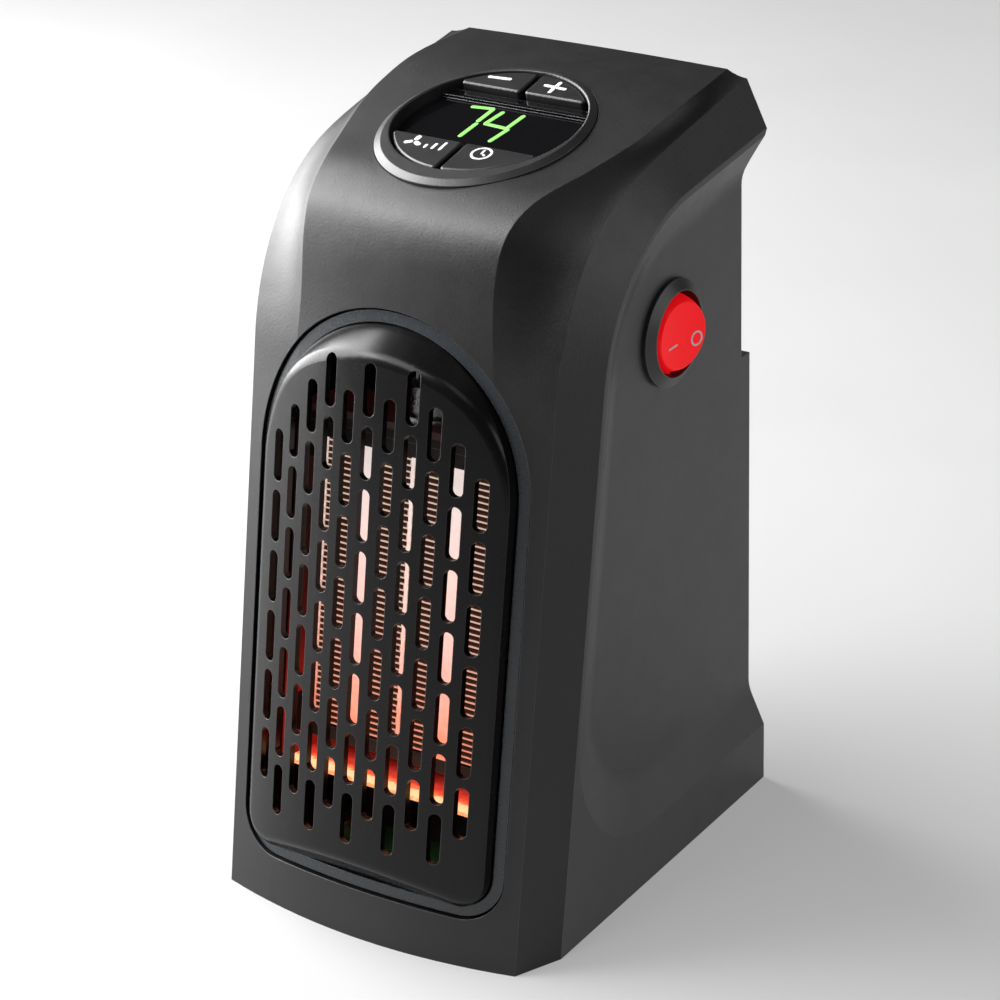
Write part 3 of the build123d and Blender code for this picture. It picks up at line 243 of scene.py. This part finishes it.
DISPLAY = moulded("display_body", (0.018, 0.018, 0.018), (0.03, 0.03, 0.03), (0.3, 0.4), 900.0, 0.00001)
FAN = moulded("fan_plastic", (0.012, 0.012, 0.012), (0.02, 0.02, 0.02), (0.38, 0.5), 1000.0, 0.00001)
SHIELD = moulded("heat_board", (0.010, 0.004, 0.003), (0.022, 0.009, 0.006), (0.5, 0.65), 800.0, 0.00004)
LAMP = moulded("lamp_glass", (0.8, 0.3, 0.1), (0.95, 0.45, 0.2), (0.05, 0.12), 500.0, 0.000002,
               Transmission_Weight=0.6)

# painted glow on the front edges of the heating core stands in for heat light, and behind them it falls off
# into a painted dark shade
core_low, core_high = FACE.span("ptc_bars")
HEIGHT = (core_low.y, core_high.y)
BARS = painted_glow("ptc_metal", FACE.v, HEIGHT,
              [(0.0, (1.0, 0.16, 0.06)), (0.14, (1.0, 0.30, 0.18)), (0.36, (1.0, 0.50, 0.42)),
               (0.62, (0.96, 0.62, 0.56)), (0.85, (0.80, 0.66, 0.62)), (1.0, (0.66, 0.58, 0.56))],
              0.95, (0.7, 0.5, 0.45), core_high.z, 0.0005)
FINS = painted_glow("fin_aluminium", FACE.v, HEIGHT,
              [(0.0, (1.0, 0.30, 0.18)), (0.22, (0.95, 0.42, 0.30)), (0.5, (0.86, 0.56, 0.44)),
               (1.0, (0.74, 0.60, 0.50))],
              0.8, (0.05, 0.03, 0.025), core_high.z, 0.0003)

# painted glow: the floor of the outlet is painted brightest near its lip, and the duct walls carry a painted
# glow only at their foot, as if lit by the core
TRAY_PAINTED_GLOW = 0.016            # depth of the painted glow on the floor behind its front edge
DUCT_PAINTED_GLOW = (-0.008, 0.036)  # walls with a painted glow, from the core's foot
tray_front = FACE.span("air_deflector")[1].z
TRAY = painted_glow("reflector", FACE.w, (tray_front - TRAY_PAINTED_GLOW, tray_front),
              [(0.0, (0.02, 0.0, 0.0)), (0.25, (0.16, 0.006, 0.004)), (0.58, (0.62, 0.03, 0.015)),
               (0.70, (1.0, 0.16, 0.05)), (0.76, (1.0, 0.55, 0.26)), (0.93, (1.0, 0.62, 0.32)),
               (1.0, (1.0, 0.30, 0.10))],
              1.25, (0.3, 0.06, 0.03))
DUCT = painted_glow("duct_plastic", FACE.v, [core_low.y + step for step in DUCT_PAINTED_GLOW],
              [(0.0, (0.40, 0.012, 0.008)), (0.2, (0.55, 0.016, 0.010)), (0.6, (0.12, 0.004, 0.003)),
               (1.0, (0.012, 0.002, 0.002))],
              0.5, (0.02, 0.008, 0.006))

BY_SLOT = {
    "cover_plastic": CHARCOAL, "housing_plastic": HOUSING, "trim_plastic": TRIM, "grille_plastic": GRILLE,
    "ring_plastic": RING, "key_plastic": KEY, "lens": LENS, "rocker_red": ROCKER, "switch_plastic": SWITCH,
    "lamp_glass": LAMP, "steel": STEEL, "brass": BRASS, "nickel": NICKEL, "fin_aluminium": FINS,
    "ptc_metal": BARS, "heat_board": SHIELD, "duct_plastic": DUCT, "reflector": TRAY, "fan_plastic": FAN,
    "motor_steel": MOTOR, "circuit_board": BOARD, "component": COMPONENT, "display_body": DISPLAY,
    "guide_plastic": INNER, "inner_plastic": INNER,
}
for part in frame["record"]["subparts"]:
    mesh = NODES[part["node"]].data
    mesh.materials.clear()
    mesh.materials.append(BY_SLOT[part["material_slot"]].material)


# ------------------------------------------------------------------ printed marks
# Marks are designed in millimetres on the face that carries them.
INK_RISE = 0.00006           # height of a mark above that face, and its depth below
REACH = 0.010                # a mark is laid down from this high above the face
ARC = 8                      # steps of a stroke's rounded end
FIGURE_STROKE = 1.0
SIGN_STROKE = 0.9
BLADE_STROKE = 1.15
LEVEL_STROKE = 0.7
CLOCK_RIM = 0.55
CLOCK_HAND = 0.5
SWITCH_STROKE = 0.4
SWITCH_RIM = 0.42


class Marks:
    """Thin printed shapes laid on the face of one CAD part and gathered into one mesh."""

    def __init__(self, host, origin, right, up, out):
        mesh = NODES[host].data
        corners = [vertex.co for vertex in mesh.vertices]
        self.face = BVHTree.FromPolygons(corners, [tuple(polygon.vertices) for polygon in mesh.polygons])
        self.origin, self.right, self.up, self.out = origin, right, up, out
        self.made = bmesh.new()

    def rest(self, x, y):
        """Where a point of the design meets the part's face."""
        start = self.origin + (self.right * x + self.up * y) * MM + self.out * REACH
        hit = self.face.ray_cast(start, -self.out)[0]
        if hit is None:
            raise RuntimeError(f"a mark at {x:.2f}, {y:.2f} misses its part")
        return hit

    def loops(self, outline):
        """One row of corners just above the face and one just below it."""
        feet = [self.rest(x, y) for x, y in outline]
        levels = (self.out * INK_RISE, self.out * -INK_RISE)
        return [[self.made.verts.new(foot + level) for foot in feet] for level in levels]

    def walls(self, first, second):
        for i in range(len(first)):
            j = (i + 1) % len(first)
            self.made.faces.new((first[i], first[j], second[j], second[i]))

    def stroke(self, start, end, width):
        """Straight line with rounded ends."""
        heading = math.atan2(end[1] - start[1], end[0] - start[0])
        outline = []
        for centre, turn in ((end, -0.5), (start, 0.5)):
            angles = [heading + math.pi * (turn + i / ARC) for i in range(ARC + 1)]
            outline += [on_circle(centre, width / 2, angle) for angle in angles]
        top, foot = self.loops(outline)
        self.made.faces.new(top)
        self.made.faces.new(foot[::-1])
        self.walls(foot, top)

    def ring(self, centre, radius, width):
        count = 4 * ARC
        rims = []
        for reach in (radius + width / 2, radius - width / 2):
            rims.append(self.loops([on_circle(centre, reach, math.tau * i / count) for i in range(count)]))
        (outer_top, outer_foot), (inner_top, inner_foot) = rims
        self.walls(outer_top, inner_top)
        self.walls(inner_foot, outer_foot)
        self.walls(outer_foot, outer_top)
        self.walls(inner_top, inner_foot)

    def finish(self, name, skin, body, slot):
        mesh = bpy.data.meshes.new(name)
        self.made.to_mesh(mesh)
        self.made.free()
        mesh.materials.append(skin.material)
        made = bpy.data.objects.new(name, mesh)
        bpy.context.scene.collection.objects.link(made)
        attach(made, body)


def on_circle(centre, radius, angle):
    return centre[0] + math.cos(angle) * radius, centre[1] + math.sin(angle) * radius


INK = moulded("white_ink", (0.58, 0.58, 0.58), (0.70, 0.70, 0.70), (0.4, 0.5), 4000.0, 0.000004)
GREEN = moulded("lit_segment", (0.05, 0.12, 0.03), (0.06, 0.14, 0.04), (0.3, 0.4), 4000.0, 0.000002,
                Emission_Color=(0.33, 0.82, 0.17, 1.0), Emission_Strength=1.0)

ring_low, ring_high = DECK.span("control_ring")
deck_middle = (ring_low.y + ring_high.y) / 2


def on_deck(host):
    """Marks on the deck, designed from the middle of the control ring."""
    top = DECK.span(host)[1].z
    return Marks(host, DECK.point(0.0, deck_middle, top), DECK.x, DECK.v, DECK.w)


# two figures of lit segments
SEVEN = [((-9.2, 9.0), (-4.6, 9.5)), ((-4.4, 9.2), (-4.8, 4.2)), ((-4.6, 3.0), (-5.1, -2.3))]
FOUR = [((-1.7, 8.7), (-2.7, 3.8)), ((-2.6, 3.6), (2.9, 3.2)),
        ((3.4, 8.7), (2.8, 4.0)), ((3.2, 2.8), (2.2, -2.2))]
figures = on_deck("display_window")
for start, end in SEVEN + FOUR:
    figures.stroke(start, end, FIGURE_STROKE)
figures.finish("lit_figures", GREEN, "body", "lens")

minus = on_deck("minus_key")
minus.stroke((-10.0, 17.6), (-5.2, 17.9), SIGN_STROKE)
minus.finish("minus_mark", INK, "minus_key", "key_plastic")

# the upright of the plus stops short of its bar, so that no two strokes overlap
plus = on_deck("plus_key")
plus.stroke((3.6, 17.9), (8.4, 17.6), SIGN_STROKE)
plus.stroke((6.1, 19.7), (6.05, 18.3), SIGN_STROKE)
plus.stroke((6.0, 17.2), (5.95, 15.7), SIGN_STROKE)
plus.finish("plus_mark", INK, "plus_key", "key_plastic")

# a small propeller with three rising bars stands for speed
HUB = (-10.4, -10.6)
BLADE_FROM, BLADE_TO = 0.85, 1.7
LEVEL_X, LEVEL_PITCH, LEVEL_FOOT, LEVEL_TOP, LEVEL_GAIN = -7.0, 1.8, -12.0, -11.2, 0.9
speed = on_deck("fan_speed_key")
for turn in (90.0, 210.0, 330.0):
    root, tip = (on_circle(HUB, reach, math.radians(turn)) for reach in (BLADE_FROM, BLADE_TO))
    speed.stroke(root, tip, BLADE_STROKE)
for step in range(3):
    x = LEVEL_X + LEVEL_PITCH * step
    speed.stroke((x, LEVEL_FOOT), (x, LEVEL_TOP + LEVEL_GAIN * step), LEVEL_STROKE)
speed.finish("speed_mark", INK, "fan_speed_key", "key_plastic")

# and a clock face for the timer
CLOCK = (6.0, -10.7)
timer = on_deck("timer_key")
timer.ring(CLOCK, 2.1, CLOCK_RIM)
timer.stroke(CLOCK, (6.0, -9.4), CLOCK_HAND)
timer.stroke((6.6, -11.0), (7.0, -11.25), CLOCK_HAND)
timer.finish("timer_mark", INK, "timer_key", "key_plastic")

# the stroke and the circle on the two halves of the rocker, whose front half is pressed in at rest
ROCKER_LEAN = math.radians(10.0)
pivot = Vector(JOINTS["rocker_tilt"]["pos_m"])
outward = Vector((math.cos(ROCKER_LEAN), -math.sin(ROCKER_LEAN), 0.0))
rearward = Vector((math.sin(ROCKER_LEAN), math.cos(ROCKER_LEAN), 0.0))
states = Marks("switch_rocker", pivot, rearward, Vector((0.0, 0.0, 1.0)), outward)
states.stroke((-4.2, -1.7), (-1.7, -1.4), SWITCH_STROKE)
states.ring((4.4, -1.8), 1.45, SWITCH_RIM)
states.finish("rocker_marks", INK, "rocker", "rocker_red")


# ------------------------------------------------------------------ floor and light
FLOOR = 6.0


def flat_square(name, size):
    mesh = bpy.data.meshes.new(name)
    made = bmesh.new()
    bmesh.ops.create_grid(made, x_segments=1, y_segments=1, size=size / 2)
    made.to_mesh(mesh)
    made.free()
    square = bpy.data.objects.new(name, mesh)
    bpy.context.scene.collection.objects.link(square)
    return square


floor = flat_square("floor", FLOOR)
pale = Finish("pale_floor", Emission_Color=(1.0, 1.0, 1.0, 1.0), Emission_Strength=0.30, Roughness=0.9)
cloud = pale.noise(9.0, 3.0)
pale.give("Base Color", pale.ramp(cloud, [(LOW, (0.24, 0.24, 0.24)), (HIGH, (0.26, 0.26, 0.26))]))
floor.data.materials.append(pale.material)

middle = (cad_box[0] + cad_box[1]) / 2


def softbox(name, direction, distance, width, height, radiance):
    """Area light aimed at the middle of the object."""
    light = bpy.data.lights.new(name, "AREA")
    light.shape = "RECTANGLE"
    light.size = width
    light.size_y = height
    light.energy = radiance * math.pi * width * height
    away = Vector(direction).normalized()
    turn = away.to_track_quat("Z", "Y").to_matrix().to_4x4()
    lamp = bpy.data.objects.new(name, light)
    lamp.matrix_world = Matrix.Translation(middle + away * distance) @ turn
    bpy.context.scene.collection.objects.link(lamp)


softbox("key", (-0.86, -0.14, 0.42), 0.70, 0.85, 0.80, 13.0)
softbox("fill", (0.86, 0.36, 0.20), 1.1, 0.8, 0.6, 2.0)
softbox("overhead", (0.5, -0.2, 1.0), 1.2, 0.5, 0.5, 1.2)
softbox("front_top", (-0.30, -0.42, 0.80), 0.9, 0.7, 0.5, 5.0)

world = bpy.data.worlds.new("studio")
bpy.context.scene.world = world
world.use_nodes = True
background = world.node_tree.nodes["Background"]
background.inputs["Color"].default_value = (1.0, 1.0, 1.0, 1.0)
background.inputs["Strength"].default_value = 0.05


# ------------------------------------------------------------------ camera
AZIMUTH = math.radians(34.16)        # from straight in front towards the switch side
ELEVATION = math.radians(25.24)
ROLL = math.radians(-1.99)
CAMERA_AT = Vector((0.34222, -0.49539, 0.36503))
back = Vector((math.sin(AZIMUTH) * math.cos(ELEVATION),
               -math.cos(AZIMUTH) * math.cos(ELEVATION),
               math.sin(ELEVATION)))
level = (-back).cross(Vector((0.0, 0.0, 1.0))).normalized()
upright = level.cross(-back)
across = level * math.cos(ROLL) + upright * math.sin(ROLL)
above = upright * math.cos(ROLL) - level * math.sin(ROLL)
camera = bpy.data.objects.new("camera", bpy.data.cameras.new("camera"))
camera.data.sensor_width = 36.0
camera.data.lens = 112.62
camera.data.clip_start = 0.01
facing = Matrix((across, above, back)).transposed().to_4x4()
camera.matrix_world = Matrix.Translation(CAMERA_AT) @ facing
bpy.context.scene.collection.objects.link(camera)
bpy.context.scene.camera = camera
bpy.context.scene.view_settings.view_transform = "Standard"
